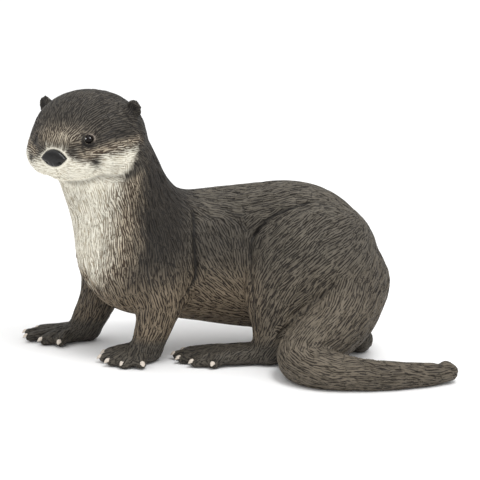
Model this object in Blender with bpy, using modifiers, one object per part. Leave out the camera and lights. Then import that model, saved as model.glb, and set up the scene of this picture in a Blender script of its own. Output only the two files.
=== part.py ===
"""A moulded vinyl figure of a river otter, standing, with its tail laid round.

The body is one blended form: round tubes for the trunk, neck, limbs and tail,
ellipsoids for the head, and a palm with toes for each paw. It is modelled whole,
stood on flat soles, and parted with thin straight cuts. Forms are described in
millimetres. The otter faces -X and its left side is on -Y.
"""
import bpy
import bmesh
import numpy as np
from mathutils import Matrix, Vector

MM = 0.001
GAP = 0.3                 # clear space between neighbouring pieces
VOXEL = 1.5               # grain of the remeshed cage
BODY_TRIANGLES = 4000     # of the whole body before it is parted
REACH = 300.0             # half size of a cutter before its planes trim it

# ---------------------------------------------------------------- forms


def vec(*values):
    return np.array(values, float)


def unit(v):
    return np.asarray(v, float)/np.linalg.norm(v)


def smooth_min(a, b, k):
    """Union of two fields with a fillet about k wide."""
    h = np.clip(0.5 + 0.5*(b - a)/k, 0, 1)
    return b + (a - b)*h - k*h*(1 - h)


class Tube:
    """A smooth tube through stations of x, y, z, half-height and half-width."""

    def __init__(self, stations, side=None, samples=4):
        rows = np.array([s if len(s) == 5 else (*s, s[3]) for s in stations], float)
        ends = np.vstack([2*rows[0] - rows[1], rows, 2*rows[-1] - rows[-2]])
        self.spans = len(rows) - 1
        p0, p1, p2, p3 = (ends[i:i + self.spans] for i in range(4))
        self.cubic = 0.5*np.stack([2*p1, p2 - p0, 2*p0 - 5*p1 + 4*p2 - p3, 3*p1 - p0 - 3*p2 + p3])
        self.side = None if side is None else unit(side)
        self.first = np.linspace(0, self.spans, samples*self.spans + 1)
        reach = rows[:, 3:].max()
        self.low, self.high = rows[:, :3].min(0) - reach, rows[:, :3].max(0) + reach

    def at(self, t):
        """Station values and their rate of change at each t."""
        i = np.minimum(t.astype(int), self.spans - 1)
        u = (t - i)[:, None]
        a, b, c, d = self.cubic[:, i]
        return a + u*(b + u*(c + u*d)), (b + u*(2*c + 3*u*d))[:, :3]

    def sideways(self, along):
        if self.side is not None:
            return np.broadcast_to(self.side, along.shape)
        across = np.stack([-along[:, 1], along[:, 0], 0*along[:, 0]], 1)
        return across/(np.linalg.norm(across, axis=1, keepdims=True) + 1e-9)

    def gap(self, p, t):
        """Signed distance from each point to the section's ball at its t."""
        row, along = self.at(t)
        off = p - row[:, :3]
        across = (off*self.sideways(along)).sum(1)
        rest = np.maximum((off**2).sum(1) - across**2, 0)
        r, w = row[:, 3], row[:, 4]
        return (np.sqrt((across/w)**2 + rest/r**2) - 1)*np.minimum(r, w)

    def __call__(self, p):
        best, at = np.full(len(p), np.inf), np.zeros(len(p))
        for t in self.first:
            g = self.gap(p, np.full(len(p), t))
            near = g < best
            best[near], at[near] = g[near], t
        h = self.first[1]/2
        for _ in range(2):
            g0, g2 = (self.gap(p, np.clip(at + s, 0, self.spans)) for s in (-h, h))
            bend = np.maximum(g0 - 2*best + g2, 1e-6)
            t = np.clip(at + np.clip(0.5*h*(g0 - g2)/bend, -h, h), 0, self.spans)
            g = self.gap(p, t)
            at, best = np.where(g < best, t, at), np.minimum(g, best)
            h *= 0.4
        return best

    def balls(self, pitch=0.35):
        """Ellipsoids strung along the tube: centre, sideways direction, radius, half-width."""
        t = np.linspace(0, self.spans, 60*self.spans + 1)
        row, along = self.at(t)
        run = np.append(0, np.cumsum(np.linalg.norm(np.diff(row[:, :3], axis=0), axis=1)))
        step = pitch*row[:, 3:].min()
        pick = np.searchsorted(run, np.linspace(0, run[-1], max(3, int(run[-1]/step) + 2)))
        pick = np.minimum(pick, len(t) - 1)
        side = self.sideways(along)
        return [(row[i, :3], side[i], row[i, 3], row[i, 4]) for i in pick]


def ellipsoid(p, centre, radii):
    q = p - np.asarray(centre, float)
    r = np.asarray(radii, float)
    k0 = np.sqrt(((q/r)**2).sum(1))
    k1 = np.sqrt(((q/r**2)**2).sum(1)) + 1e-9
    return k0*(k0 - 1)/k1


def turned(yaw, pitch, roll):
    """Forward, left and up of a head that faces -X, turned to its left, tipped down and rolled."""
    y, p, r = np.radians([yaw, pitch, roll])
    ahead, beside, above = vec(-np.cos(y), -np.sin(y), 0), vec(np.sin(y), -np.cos(y), 0), vec(0, 0, 1)
    forward = ahead*np.cos(p) - above*np.sin(p)
    top = above*np.cos(p) + ahead*np.sin(p)
    return np.array([forward, beside*np.cos(r) + top*np.sin(r), top*np.cos(r) - beside*np.sin(r)])


# ---------------------------------------------------------------- the otter's sizes

NOSE_AT = vec(-81.0, -25.0, 99.8)          # middle of the nose pad, where the head's frame starts
HEAD = turned(yaw=63, pitch=6, roll=1)
HEAD_TURN = vec(0.5, -0.87, 0)             # sideways direction of the front of the body
EYE = vec(-8.0, 13.8, 6.6)                 # forward, left, up of the nose
EYE_RADIUS = 2.3
NOSE_PAD = vec(2.4, 6.3, 4.3)
EAR = vec(-31, 23.6, 15.3)
EAR_RADII = (2.2, 3.8, 4.5)

# centre and radii as forward, left, up; fillet; whether the other side has one too
HEAD_FORMS = (
    (vec(-29, 0, 3), (23.4, 26.5, 20.5), 0, False),      # skull
    (vec(-22, 13, -3.5), (16, 13.5, 10.5), 6, True),     # cheeks
    (vec(-12, 0, 1.5), (10, 14, 7.5), 5, False),         # bridge between the eyes
    (vec(-11.5, 0, -4), (11, 14.4, 8), 5, False),        # muzzle
    (vec(-9.4, 6.2, 5.8), (6.4, 7.2, 4.6), 4, True),     # brows in front of the eyes
    (vec(-8.2, 8.2, -4.9), (7.8, 8.4, 5.6), 2, True),    # whisker pads
    (vec(-10, 0, -9.6), (8, 8, 3.2), 1.5, False),        # chin
    (EAR, EAR_RADII, 1.5, True),
)

TRUNK = Tube([(-52.5, 5, 50, 20, 18), (-44, 10, 48, 28, 24), (-22, 18, 45.8, 31.2, 25),
              (5, 20, 44.9, 34.6, 26), (25, 15, 46, 35.5, 28), (36, 8, 46, 29.6, 26)])
NECK = Tube([(-48.9, 8, 52, 24.2), (-55.6, 4, 76, 23.6), (-63, -1, 98, 22)], side=HEAD_TURN)
TAIL = Tube([(48, 4, 36, 22), (46, -12, 25, 16), (34, -24, 15, 13.5), (27.5, -31, 10, 11),
             (38, -40, 7.5, 9), (60, -42, 5.7, 7.0), (80, -38.5, 4.9, 5.6), (93, -34, 4.6, 4.2)])
LIMBS = {
    'fore_left': Tube([(-42, 0, 52, 19, 15), (-36, -6, 36, 12.5), (-38.6, -6, 22, 9.2), (-43, -4, 8, 7.5)],
                      side=HEAD_TURN),
    'fore_right': Tube([(-61, 24, 46, 18, 16), (-65, 27, 34, 12), (-68.5, 28, 22, 9.5), (-75, 29, 9, 8)],
                       side=HEAD_TURN),
    'hind_left': Tube([(35.5, -2, 48, 27, 18), (24, -6, 36, 22, 14), (18.5, -8, 21, 13.5, 11),
                       (14, -8, 8, 8, 8)], side=(0, 1, 0)),
    'hind_right': Tube([(39.5, 22, 46, 25, 18), (32, 28, 34, 20, 14), (40, 24, 19, 12, 10),
                        (52, 15, 9, 8, 7)], side=(0, 1, 0)),
}
LIMB_FILLETS = {'fore_left': 4, 'fore_right': 4, 'hind_left': 1.5, 'hind_right': 2}
NECK_FILLET, HEAD_FILLET, PAW_FILLET, TAIL_FILLET, TOE_FILLET = 12, 2, 2.5, 2, 1.8
TOE_RADIUS = 2.5


class Paw:
    """A flat palm on its heel with five webbed toes, each given by where it ends."""

    def __init__(self, heel, heel_height, palm, palm_height, palm_width, toes):
        heel, palm, toes = vec(*heel), vec(*palm), np.array(toes, float)
        ahead = unit(toes.mean(0) - palm)
        across = vec(-ahead[1], ahead[0])
        self.toes = []
        self.claws = []
        for tip in toes:
            root = palm + across*((tip - palm) @ across)*0.42 - ahead*1.5
            reach = unit(tip - root)
            knuckle = root*0.45 + tip*0.55
            end = tip - reach*TOE_RADIUS*0.7
            r = TOE_RADIUS
            self.toes.append(Tube([(*root, palm_height*0.55, r*1.15, r*1.35),
                                   (*knuckle, palm_height*0.42, r*1.1, r*1.2),
                                   (*end, r*0.95, r*0.95, r)], samples=3))
            self.claws.append((vec(*(tip - reach*0.4), r*1.05), vec(*reach, 0)))
        middle, front = (heel + palm)/2, palm + ahead*6
        mean = (heel_height + palm_height)/4
        self.palm = Tube([(*heel, heel_height*0.5, heel_height*0.5 + 0.5, heel_height*0.55),
                          (*middle, mean, mean + 0.4, palm_width*0.42),
                          (*palm, palm_height*0.45, palm_height*0.5, palm_width*0.5),
                          (*front, palm_height*0.27, palm_height*0.33, palm_width*0.5)], samples=3)
        points = np.vstack([toes, heel, palm])
        self.low = vec(*(points.min(0) - 6), 0)
        self.high = vec(*(points.max(0) + 6), heel_height + 4)

    def __call__(self, p):
        d = self.palm(p)
        for toe in self.toes:
            d = smooth_min(d, toe(p), TOE_FILLET)
        return d


PAWS = {
    'fore_left': Paw((-42, -3), 10, (-51, -7), 8.5, 19,
                     [(-64, 0.5), (-65, -7), (-61, -13), (-53.8, -16.2), (-44.5, -17.5)]),
    'fore_right': Paw((-74, 30), 10, (-87, 28), 8, 19,
                      [(-101, 40), (-106, 33.5), (-104.5, 26), (-96.5, 20), (-87, 16)]),
    'hind_left': Paw((12, -7), 10, (-12, -6.5), 8, 19,
                     [(-27, 4), (-31, -2), (-28.5, -8.5), (-22.3, -14), (-12.5, -17)]),
    'hind_right': Paw((57, 11), 12, (30, 22), 8, 19,
                      [(20, 14), (14.5, 20), (13, 26.5), (17, 33), (25, 37)]),
}

# ---------------------------------------------------------------- the blended body


def in_head(p):
    return (p - NOSE_AT) @ HEAD.T


def from_head(q):
    return NOSE_AT + np.asarray(q, float) @ HEAD


def head(p):
    q = in_head(p)
    folded = np.column_stack([q[:, 0], np.abs(q[:, 1]), q[:, 2]])
    d = np.full(len(p), np.inf)
    for centre, radii, fillet, paired in HEAD_FORMS:
        form = ellipsoid(folded if paired else q, centre, radii)
        d = form if fillet == 0 else smooth_min(d, form, fillet)
    return d


def blend_in(p, d, form, fillet, low, high):
    """Join a form to the field d, worked out only where it can reach."""
    margin = 8
    here = np.all((p > low - margin) & (p < high + margin), axis=1)
    if here.any():
        d[here] = smooth_min(d[here], form(p[here]), fillet)
    return d


def body(p):
    """Signed distance, in millimetres, from the otter's surface."""
    d = smooth_min(TRUNK(p), NECK(p), NECK_FILLET)
    d = blend_in(p, d, head, HEAD_FILLET, NOSE_AT - vec(15, 30, 25), NOSE_AT + vec(55, 60, 32))
    for name, limb in LIMBS.items():
        d = blend_in(p, d, limb, LIMB_FILLETS[name], limb.low, limb.high)
    for paw in PAWS.values():
        d = blend_in(p, d, paw, PAW_FILLET, paw.low, paw.high)
    return blend_in(p, d, TAIL, TAIL_FILLET, TAIL.low, TAIL.high)


def slope(p, step=0.3):
    here = body(p)
    grad = np.stack([body(p + axis*step) - here for axis in np.eye(3)], 1)
    return here, grad/(np.linalg.norm(grad, axis=1, keepdims=True) + 1e-9)


def settle(p, rounds=5):
    """Move points onto the otter's surface."""
    for _ in range(rounds):
        d, normal = slope(p)
        p = p - normal*np.clip(d, -2, 2)[:, None]
    return p

# ---------------------------------------------------------------- forms end


def ball(centre, axes, radii, around=12, up=8):
    """An ellipsoid with its radii along the rows of axes."""
    turn = Matrix((np.asarray(axes, float).T*np.asarray(radii, float)).tolist()).to_4x4()
    bm = bmesh.new()
    bmesh.ops.create_uvsphere(bm, u_segments=around, v_segments=up, radius=1,
                              matrix=Matrix.Translation(Vector(centre)) @ turn)
    mesh = bpy.data.meshes.new('ball')
    bm.to_mesh(mesh)
    bm.free()
    return mesh


def tube_balls(tube):
    for centre, side, radius, half_width in tube.balls():
        upright = unit(np.cross(side, vec(side[1], -side[0], 0)))
        yield ball(centre, [side, np.cross(upright, side), upright], (half_width, radius, radius))


def cage():
    """Every form as overlapping balls, ready to be remeshed into one skin."""
    bm = bmesh.new()
    for centre, radii, _, paired in HEAD_FORMS:
        for hand in (1, -1) if paired else (1,):
            bm.from_mesh(ball(from_head(centre*vec(1, hand, 1)), HEAD, radii, 24, 16))
    paw_tubes = [tube for paw in PAWS.values() for tube in (paw.palm, *paw.toes)]
    for tube in (TRUNK, NECK, TAIL, *LIMBS.values(), *paw_tubes):
        for mesh in tube_balls(tube):
            bm.from_mesh(mesh)
    mesh = bpy.data.meshes.new('cage')
    bm.to_mesh(mesh)
    bm.free()
    return mesh


# ---------------------------------------------------------------- Blender helpers


def evaluated(obj):
    depsgraph = bpy.context.evaluated_depsgraph_get()
    return bpy.data.meshes.new_from_object(obj.evaluated_get(depsgraph))


def with_modifier(mesh, kind, **settings):
    """The mesh after one modifier."""
    obj = bpy.data.objects.new('work', mesh)
    bpy.context.scene.collection.objects.link(obj)
    modifier = obj.modifiers.new(kind, kind)
    for name, value in settings.items():
        setattr(modifier, name, value)
    result = evaluated(obj)
    bpy.data.objects.remove(obj)
    return result


def boolean(mesh, cutter, operation):
    """The mesh cut by, or kept inside, another mesh."""
    obj = bpy.data.objects.new('cutter', cutter)
    bpy.context.scene.collection.objects.link(obj)
    obj.hide_render, obj.display_type = True, 'WIRE'
    result = with_modifier(mesh, 'BOOLEAN', operation=operation, object=obj)
    bpy.data.objects.remove(obj)
    return result


def fill_open_edges(bm):
    bmesh.ops.holes_fill(bm, edges=[e for e in bm.edges if e.is_boundary], sides=0)


def trim(bm, point, outward):
    """Cut away what lies beyond a plane and close the cut flat."""
    everything = bm.verts[:] + bm.edges[:] + bm.faces[:]
    bmesh.ops.bisect_plane(bm, geom=everything, plane_co=Vector(point), plane_no=Vector(outward),
                           clear_outer=True)
    fill_open_edges(bm)


def region(planes, grow=0.0):
    """The solid behind all of the planes, each given as a point and an outward normal."""
    bm = bmesh.new()
    bmesh.ops.create_cube(bm, size=2*REACH)
    for point, outward in planes:
        normal = unit(outward)
        trim(bm, vec(*point) + normal*grow, normal)
    mesh = bpy.data.meshes.new('region')
    bm.to_mesh(mesh)
    bm.free()
    return mesh


def box(low, high, axes=np.eye(3), at=vec(0, 0, 0)):
    """Six planes of a box along the given axes."""
    ends = [(at + axes.T @ vec(*low), -axes), (at + axes.T @ vec(*high), axes)]
    return [(point, normal) for point, normals in ends for normal in normals]


# ---------------------------------------------------------------- the whole body


def whole_body():
    mesh = with_modifier(cage(), 'REMESH', mode='VOXEL', voxel_size=VOXEL)
    points = np.empty(3*len(mesh.vertices))
    mesh.vertices.foreach_get('co', points)
    mesh.vertices.foreach_set('co', settle(points.reshape(-1, 3)).ravel())
    triangles = 2*len(mesh.polygons)
    mesh = with_modifier(mesh, 'DECIMATE', ratio=BODY_TRIANGLES/triangles)
    bm = bmesh.new()
    bm.from_mesh(mesh)
    trim(bm, (0, 0, 0), (0, 0, -1))                      # flat soles
    bmesh.ops.triangulate(bm, faces=bm.faces[:])
    bm.to_mesh(mesh)
    bm.free()
    return mesh


# ---------------------------------------------------------------- where the body is parted


def ear_region(hand):
    return box((-7, -7, -7), (7, 7, 7), HEAD, from_head(EAR*vec(1, hand, 1))) + [
        (from_head(vec(-31, 22.0*hand, 12.3)), -HEAD.T @ vec(-0.15, 0.8*hand, 0.58))]


HEAD_CUT = [(from_head((-12, 0, -15.5)), -HEAD.T @ vec(0.335, 0, 0.942))]
NECK_CUT = [((-38, 0, 84), (0.545, 0, -0.838))]
TAIL_CUT = [((43, 0, 38), (-0.69, 0, 0.72)), ((20, -18, 0), (-0.37, 0.93, 0))]
TAIL_TIP_CUT = TAIL_CUT + [((70, 0, 0), (-1, 0, 0)), ((0, -29.5, 0), (0, 1, 0)), ((0, 0, 18), (0, 0, 1))]
TAIL_MIDDLE_CUT = TAIL_CUT + [((42, 0, 0), (-1, 0, 0)), ((0, -29.5, 0), (0, 1, 0)), ((0, 0, 18), (0, 0, 1))]
TAIL_BEND_CUT = TAIL_CUT + [((32, -26, 14), (0.55, 0.70, 0.45))]
FOOT_CUTS = {
    'fore_left': box((-75, -30, -1), (-33.9, 12, 12.5)),
    'fore_right': box((-120, 8, -1), (-62, 50, 12.5)),
    'hind_left': box((-33.9, -30, -1), (24, 9, 9.5)),
    'hind_right': box((6, 0, -1), (75, 50, 20)) + [((25, 0, 9.5), (-0.2, 0, 0.98))],
}
LIMB_CUTS = {
    'fore_left': [((-38, 2, 22), (0, 0.707, 0.707)), ((-60, 0, 0), (-1, 0, 0)), ((-20, 0, 0), (1, 0, 0))],
    'fore_right': [((-64, 17, 24), (0, -0.8, 0.6)), ((-100, 0, 0), (-1, 0, 0)), ((-46, 0, 0), (1, 0, 0))],
    'hind_left': [((25, 6, 14), (0, 0.92, 0.39)), ((1, 0, 0), (-1, 0, 0)), ((46, 0, 0), (0.894, 0, -0.447))],
    'hind_right': [((25, 18, 14), (0, -0.92, 0.39)), ((11, 0, 0), (-1, 0, 0))],
}


def part_body(mesh):
    """Part the body into its named pieces, from the outermost inwards."""
    cuts = {'ear_left': ear_region(1), 'ear_right': ear_region(-1), 'head': HEAD_CUT, 'neck': NECK_CUT,
            'tail_tip': TAIL_TIP_CUT, 'tail_middle': TAIL_MIDDLE_CUT, 'tail_bend': TAIL_BEND_CUT,
            'tail_root': TAIL_CUT}
    cuts.update({f'{name}_foot': cut for name, cut in FOOT_CUTS.items()})
    cuts.update({f'{name}_leg': cut for name, cut in LIMB_CUTS.items()})
    pieces = {}
    for name, planes in cuts.items():
        pieces[name] = boolean(mesh, region(planes), 'INTERSECT')
        mesh = boolean(mesh, region(planes, GAP), 'DIFFERENCE')
    pieces['trunk'] = mesh
    return pieces


# ---------------------------------------------------------------- eyes, nose and claws


EYE_DEPTH = 1.3           # of an eye's centre under the face
EYE_FACES = unit(vec(0.42, 0.86, 0.12))


def eye_centre(hand):
    """Where an eye's centre lies: under the face, along the way that the eye looks."""
    looks = unit(EYE_FACES*vec(1, hand, 1))
    steps = np.linspace(-12, 12, 481)[:, None]
    line = from_head(EYE*vec(1, hand, 1) + looks*steps)
    surface = steps[np.abs(body(line)).argmin(), 0]
    return from_head(EYE*vec(1, hand, 1) + looks*(surface - EYE_DEPTH))


CLAW_LENGTH, CLAW_ROOT, CLAW_TIP, CLAW_DIP = 3.6, 1.0, 0.35, 0.3


def claw(at, ahead, grow=0.0):
    """A short tapered claw that leans down ahead of its toe."""
    bm = bmesh.new()
    lean = Vector(unit(ahead - vec(0, 0, CLAW_DIP)))
    turn = Vector((0, 0, 1)).rotation_difference(lean).to_matrix().to_4x4()
    bmesh.ops.create_cone(bm, cap_ends=True, segments=7, radius1=CLAW_ROOT + grow,
                          radius2=CLAW_TIP + grow, depth=CLAW_LENGTH + 2*grow,
                          matrix=Matrix.Translation(Vector(at)) @ turn)
    mesh = bpy.data.meshes.new('claw')
    bm.to_mesh(mesh)
    bm.free()
    return mesh


# ---------------------------------------------------------------- the figure


COLOURS = {                # base colour and roughness
    'brown_vinyl': ((0.085, 0.070, 0.055), 0.75),
    'cream_vinyl': ((0.62, 0.57, 0.46), 0.75),
    'nose_black': ((0.03, 0.03, 0.032), 0.5),
    'eye_black': ((0.008, 0.007, 0.007), 0.08),
    'claw_pale': ((0.60, 0.50, 0.46), 0.45),
}


def material(name):
    made = bpy.data.materials.get(name)
    if made is None:
        made = bpy.data.materials.new(name)
        made.use_nodes = True
        shader = made.node_tree.nodes['Principled BSDF']
        colour, roughness = COLOURS[name]
        shader.inputs['Base Color'].default_value = (*colour, 1)
        shader.inputs['Roughness'].default_value = roughness
    return made


def main():
    for obj in list(bpy.data.objects):
        bpy.data.objects.remove(obj)
    figure = bpy.data.collections.new('otter')
    bpy.context.scene.collection.children.link(figure)

    pieces = part_body(whole_body())
    kinds = {}
    for hand, side in ((1, 'left'), (-1, 'right')):
        centre = eye_centre(hand)
        pieces['head'] = boolean(pieces['head'], ball(centre, HEAD, [EYE_RADIUS + GAP]*3), 'DIFFERENCE')
        pieces[f'eye_{side}'] = ball(centre, HEAD, [EYE_RADIUS]*3)
        kinds[f'eye_{side}'] = 'eye_black'
    nose_at = from_head((-1.4, 0, 0))
    pieces['head'] = boolean(pieces['head'], ball(nose_at, HEAD, NOSE_PAD + GAP), 'DIFFERENCE')
    pieces['nose'] = ball(nose_at, HEAD, NOSE_PAD)
    kinds['nose'] = 'nose_black'
    for name, paw in PAWS.items():
        foot = f'{name}_foot'
        for number, (at, ahead) in enumerate(paw.claws, 1):
            pieces[foot] = boolean(pieces[foot], claw(at, ahead, GAP), 'DIFFERENCE')
            pieces[f'{name}_claw_{number}'] = claw(at, ahead)
            kinds[f'{name}_claw_{number}'] = 'claw_pale'

    corners = []
    for name, mesh in pieces.items():
        points = np.empty(3*len(mesh.vertices))
        mesh.vertices.foreach_get('co', points)
        corners += [points.reshape(-1, 3).min(0), points.reshape(-1, 3).max(0)]
    low, high = np.min(corners, 0), np.max(corners, 0)
    centre = Vector(((low[0] + high[0])/2, (low[1] + high[1])/2, 0))
    to_frame = Matrix.Scale(MM, 4) @ Matrix.Translation(-centre)
    for name, mesh in pieces.items():
        mesh.transform(to_frame)
        mesh.materials.clear()
        mesh.materials.append(material(kinds.get(name, 'brown_vinyl')))
        figure.objects.link(bpy.data.objects.new(name, mesh))


main()
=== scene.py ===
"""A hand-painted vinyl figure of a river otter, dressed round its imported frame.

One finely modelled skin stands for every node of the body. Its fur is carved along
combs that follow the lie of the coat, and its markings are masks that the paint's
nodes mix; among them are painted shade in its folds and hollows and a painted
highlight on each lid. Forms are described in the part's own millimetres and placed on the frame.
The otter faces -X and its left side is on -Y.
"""

import bmesh
import bpy
import numpy as np
from mathutils import Matrix, Vector


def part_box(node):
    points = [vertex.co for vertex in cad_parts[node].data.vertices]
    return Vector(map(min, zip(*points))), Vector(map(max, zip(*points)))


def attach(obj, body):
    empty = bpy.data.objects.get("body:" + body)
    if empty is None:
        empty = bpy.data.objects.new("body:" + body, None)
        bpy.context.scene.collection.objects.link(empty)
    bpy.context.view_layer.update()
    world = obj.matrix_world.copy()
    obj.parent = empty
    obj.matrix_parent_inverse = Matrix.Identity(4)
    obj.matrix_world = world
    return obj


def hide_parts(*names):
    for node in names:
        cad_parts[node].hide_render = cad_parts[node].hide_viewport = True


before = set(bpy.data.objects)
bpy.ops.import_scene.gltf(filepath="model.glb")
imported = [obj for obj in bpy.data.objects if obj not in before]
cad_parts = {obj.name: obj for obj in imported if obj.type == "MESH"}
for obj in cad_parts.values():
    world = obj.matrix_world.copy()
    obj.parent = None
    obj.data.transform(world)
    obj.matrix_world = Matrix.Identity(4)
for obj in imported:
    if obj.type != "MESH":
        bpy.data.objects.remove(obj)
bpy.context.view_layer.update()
MM = 0.001

# ---- forms, as in the part


def vec(*values):
    return np.array(values, float)


def unit(v):
    return np.asarray(v, float)/np.linalg.norm(v)


def smooth_min(a, b, k):
    """Union of two fields with a fillet about k wide."""
    h = np.clip(0.5 + 0.5*(b - a)/k, 0, 1)
    return b + (a - b)*h - k*h*(1 - h)


class Tube:
    """A smooth tube through stations of x, y, z, half-height and half-width."""

    def __init__(self, stations, side=None, samples=4):
        rows = np.array([s if len(s) == 5 else (*s, s[3]) for s in stations], float)
        ends = np.vstack([2*rows[0] - rows[1], rows, 2*rows[-1] - rows[-2]])
        self.spans = len(rows) - 1
        p0, p1, p2, p3 = (ends[i:i + self.spans] for i in range(4))
        self.cubic = 0.5*np.stack([2*p1, p2 - p0, 2*p0 - 5*p1 + 4*p2 - p3, 3*p1 - p0 - 3*p2 + p3])
        self.side = None if side is None else unit(side)
        self.first = np.linspace(0, self.spans, samples*self.spans + 1)
        reach = rows[:, 3:].max()
        self.low, self.high = rows[:, :3].min(0) - reach, rows[:, :3].max(0) + reach

    def at(self, t):
        """Station values and their rate of change at each t."""
        i = np.minimum(t.astype(int), self.spans - 1)
        u = (t - i)[:, None]
        a, b, c, d = self.cubic[:, i]
        return a + u*(b + u*(c + u*d)), (b + u*(2*c + 3*u*d))[:, :3]

    def sideways(self, along):
        if self.side is not None:
            return np.broadcast_to(self.side, along.shape)
        across = np.stack([-along[:, 1], along[:, 0], 0*along[:, 0]], 1)
        return across/(np.linalg.norm(across, axis=1, keepdims=True) + 1e-9)

    def gap(self, p, t):
        """Signed distance from each point to the section's ball at its t."""
        row, along = self.at(t)
        off = p - row[:, :3]
        across = (off*self.sideways(along)).sum(1)
        rest = np.maximum((off**2).sum(1) - across**2, 0)
        r, w = row[:, 3], row[:, 4]
        return (np.sqrt((across/w)**2 + rest/r**2) - 1)*np.minimum(r, w)

    def __call__(self, p):
        best, at = np.full(len(p), np.inf), np.zeros(len(p))
        for t in self.first:
            g = self.gap(p, np.full(len(p), t))
            near = g < best
            best[near], at[near] = g[near], t
        h = self.first[1]/2
        for _ in range(2):
            g0, g2 = (self.gap(p, np.clip(at + s, 0, self.spans)) for s in (-h, h))
            bend = np.maximum(g0 - 2*best + g2, 1e-6)
            t = np.clip(at + np.clip(0.5*h*(g0 - g2)/bend, -h, h), 0, self.spans)
            g = self.gap(p, t)
            at, best = np.where(g < best, t, at), np.minimum(g, best)
            h *= 0.4
        return best

    def balls(self, pitch=0.35):
        """Ellipsoids strung along the tube: centre, sideways direction, radius, half-width."""
        t = np.linspace(0, self.spans, 60*self.spans + 1)
        row, along = self.at(t)
        run = np.append(0, np.cumsum(np.linalg.norm(np.diff(row[:, :3], axis=0), axis=1)))
        step = pitch*row[:, 3:].min()
        pick = np.searchsorted(run, np.linspace(0, run[-1], max(3, int(run[-1]/step) + 2)))
        pick = np.minimum(pick, len(t) - 1)
        side = self.sideways(along)
        return [(row[i, :3], side[i], row[i, 3], row[i, 4]) for i in pick]


def ellipsoid(p, centre, radii):
    q = p - np.asarray(centre, float)
    r = np.asarray(radii, float)
    k0 = np.sqrt(((q/r)**2).sum(1))
    k1 = np.sqrt(((q/r**2)**2).sum(1)) + 1e-9
    return k0*(k0 - 1)/k1


def turned(yaw, pitch, roll):
    """Forward, left and up of a head that faces -X, turned to its left, tipped down and rolled."""
    y, p, r = np.radians([yaw, pitch, roll])
    ahead, beside, above = vec(-np.cos(y), -np.sin(y), 0), vec(np.sin(y), -np.cos(y), 0), vec(0, 0, 1)
    forward = ahead*np.cos(p) - above*np.sin(p)
    top = above*np.cos(p) + ahead*np.sin(p)
    return np.array([forward, beside*np.cos(r) + top*np.sin(r), top*np.cos(r) - beside*np.sin(r)])


# ---- the otter's sizes

NOSE_AT = vec(-81.0, -25.0, 99.8)          # middle of the nose pad, where the head's frame starts
HEAD = turned(yaw=63, pitch=6, roll=1)
HEAD_TURN = vec(0.5, -0.87, 0)             # sideways direction of the front of the body
EYE = vec(-8.0, 13.8, 6.6)                 # forward, left, up of the nose
EYE_RADIUS = 2.3
NOSE_PAD = vec(2.4, 6.3, 4.3)
EAR = vec(-31, 23.6, 15.3)
EAR_RADII = (2.2, 3.8, 4.5)

# centre and radii as forward, left, up; fillet; whether the other side has one too
HEAD_FORMS = (
    (vec(-29, 0, 3), (23.4, 26.5, 20.5), 0, False),      # skull
    (vec(-22, 13, -3.5), (16, 13.5, 10.5), 6, True),     # cheeks
    (vec(-12, 0, 1.5), (10, 14, 7.5), 5, False),         # bridge between the eyes
    (vec(-11.5, 0, -4), (11, 14.4, 8), 5, False),        # muzzle
    (vec(-9.4, 6.2, 5.8), (6.4, 7.2, 4.6), 4, True),     # brows in front of the eyes
    (vec(-8.2, 8.2, -4.9), (7.8, 8.4, 5.6), 2, True),    # whisker pads
    (vec(-10, 0, -9.6), (8, 8, 3.2), 1.5, False),        # chin
    (EAR, EAR_RADII, 1.5, True),
)

TRUNK = Tube([(-52.5, 5, 50, 20, 18), (-44, 10, 48, 28, 24), (-22, 18, 45.8, 31.2, 25),
              (5, 20, 44.9, 34.6, 26), (25, 15, 46, 35.5, 28), (36, 8, 46, 29.6, 26)])
NECK = Tube([(-48.9, 8, 52, 24.2), (-55.6, 4, 76, 23.6), (-63, -1, 98, 22)], side=HEAD_TURN)
TAIL = Tube([(48, 4, 36, 22), (46, -12, 25, 16), (34, -24, 15, 13.5), (27.5, -31, 10, 11),
             (38, -40, 7.5, 9), (60, -42, 5.7, 7.0), (80, -38.5, 4.9, 5.6), (93, -34, 4.6, 4.2)])
LIMBS = {
    'fore_left': Tube([(-42, 0, 52, 19, 15), (-36, -6, 36, 12.5), (-38.6, -6, 22, 9.2),
                       (-43, -4, 8, 7.5)], side=HEAD_TURN),
    'fore_right': Tube([(-61, 24, 46, 18, 16), (-65, 27, 34, 12), (-68.5, 28, 22, 9.5), (-75, 29, 9, 8)],
                       side=HEAD_TURN),
    'hind_left': Tube([(35.5, -2, 48, 27, 18), (24, -6, 36, 22, 14), (18.5, -8, 21, 13.5, 11),
                       (14, -8, 8, 8, 8)], side=(0, 1, 0)),
    'hind_right': Tube([(39.5, 22, 46, 25, 18), (32, 28, 34, 20, 14), (40, 24, 19, 12, 10),
                        (52, 15, 9, 8, 7)], side=(0, 1, 0)),
}
LIMB_FILLETS = {'fore_left': 4, 'fore_right': 4, 'hind_left': 1.5, 'hind_right': 2}
NECK_FILLET, HEAD_FILLET, PAW_FILLET, TAIL_FILLET, TOE_FILLET = 12, 2, 2.5, 2, 1.8
TOE_RADIUS = 2.5


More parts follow.
